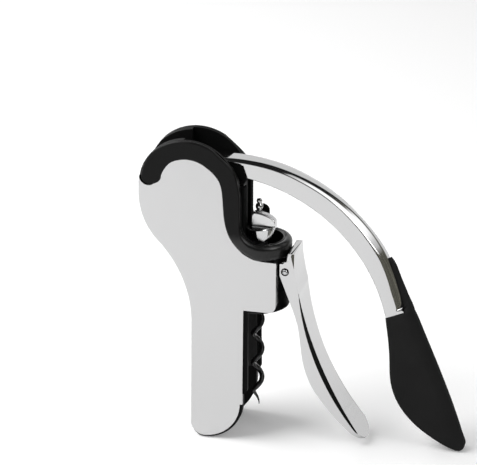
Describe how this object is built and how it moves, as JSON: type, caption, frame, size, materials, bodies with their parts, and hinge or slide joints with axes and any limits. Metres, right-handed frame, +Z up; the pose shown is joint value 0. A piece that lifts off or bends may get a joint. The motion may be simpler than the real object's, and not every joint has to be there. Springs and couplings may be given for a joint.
{
  "type": "lever corkscrew",
  "caption": "Upright lever corkscrew: bright legs under a slotted round head, a curved lever with a dark grip, a screw below a ring collar and a clamp lever for the bottle neck.",
  "frame": {"origin": "on the table, under the middle of the whole outline with the lever down", "axes": "+X from the head towards the grip, +Y away from the viewer, +Z up"},
  "size_m": [0.1799, 0.0406, 0.171],
  "materials": {
    "chrome": "polished plating",
    "dark_plastic": "satin moulded",
    "grip_plastic": "soft matt",
    "steel": "turned",
    "bronze": "sintered",
    "rubber": "matt",
    "coated_steel": "slick dark coating"
  },
  "bodies": {
    "frame": {"core_near": "dark_plastic", "core_far": "dark_plastic", "side_cover_near": "chrome", "side_cover_far": "chrome", "head_band_near": "dark_plastic", "head_band_far": "dark_plastic", "cork_tube": "dark_plastic", "collar_ring": "dark_plastic", "screw_nut": "steel", "bottle_seat": "rubber", "neck_pad": "rubber", "rail_near": "dark_plastic", "rail_far": "dark_plastic", "lever_axle": "steel", "frame_screws": "steel", "frame_nuts": "steel", "clamp_pin": "steel"},
    "lever": {"lever_hub": "dark_plastic", "hub_bush": "bronze", "gear_sector": "steel", "lever_arm": "chrome", "lever_grip": "grip_plastic", "grip_tang": "steel", "grip_pins": "steel"},
    "carriage": {"rack": "steel", "carriage_bracket": "chrome", "shaft_bearing": "bronze", "hub_cap": "chrome", "cap_stud": "chrome"},
    "screw": {"screw_shaft": "steel", "shaft_collar": "steel", "screw_worm": "coated_steel"},
    "clamp": {"clamp_lever": "chrome", "clamp_pad": "rubber"}
  },
  "joints": [
    {"name": "lever_swing", "type": "hinge", "parent": "frame", "child": "lever", "pos_m": [-0.0632, 0, 0.143], "axis": [0, -1, 0], "range_deg": [0, 147]},
    {"name": "carriage_slide", "type": "slide", "parent": "frame", "child": "carriage", "axis": [0, 0, 1], "range_m": [0, 0.0617]},
    {"name": "screw_spin", "type": "hinge", "parent": "carriage", "child": "screw", "pos_m": [-0.0272, 0, 0.08], "axis": [0, 0, 1], "range_deg": [0, 1273]},
    {"name": "clamp_squeeze", "type": "hinge", "parent": "frame", "child": "clamp", "pos_m": [-0.0094, 0, 0.1004], "axis": [0, 1, 0], "range_deg": [0, 18], "stiffness_Nm_per_rad": 0.06, "springref_deg": -25.78}
  ],
  "couplings": [
    {"joint": "carriage_slide", "follows": "lever_swing", "m_per_rad": 0.024},
    {"joint": "screw_spin", "follows": "lever_swing", "ratio": 8.6169}
  ]
}
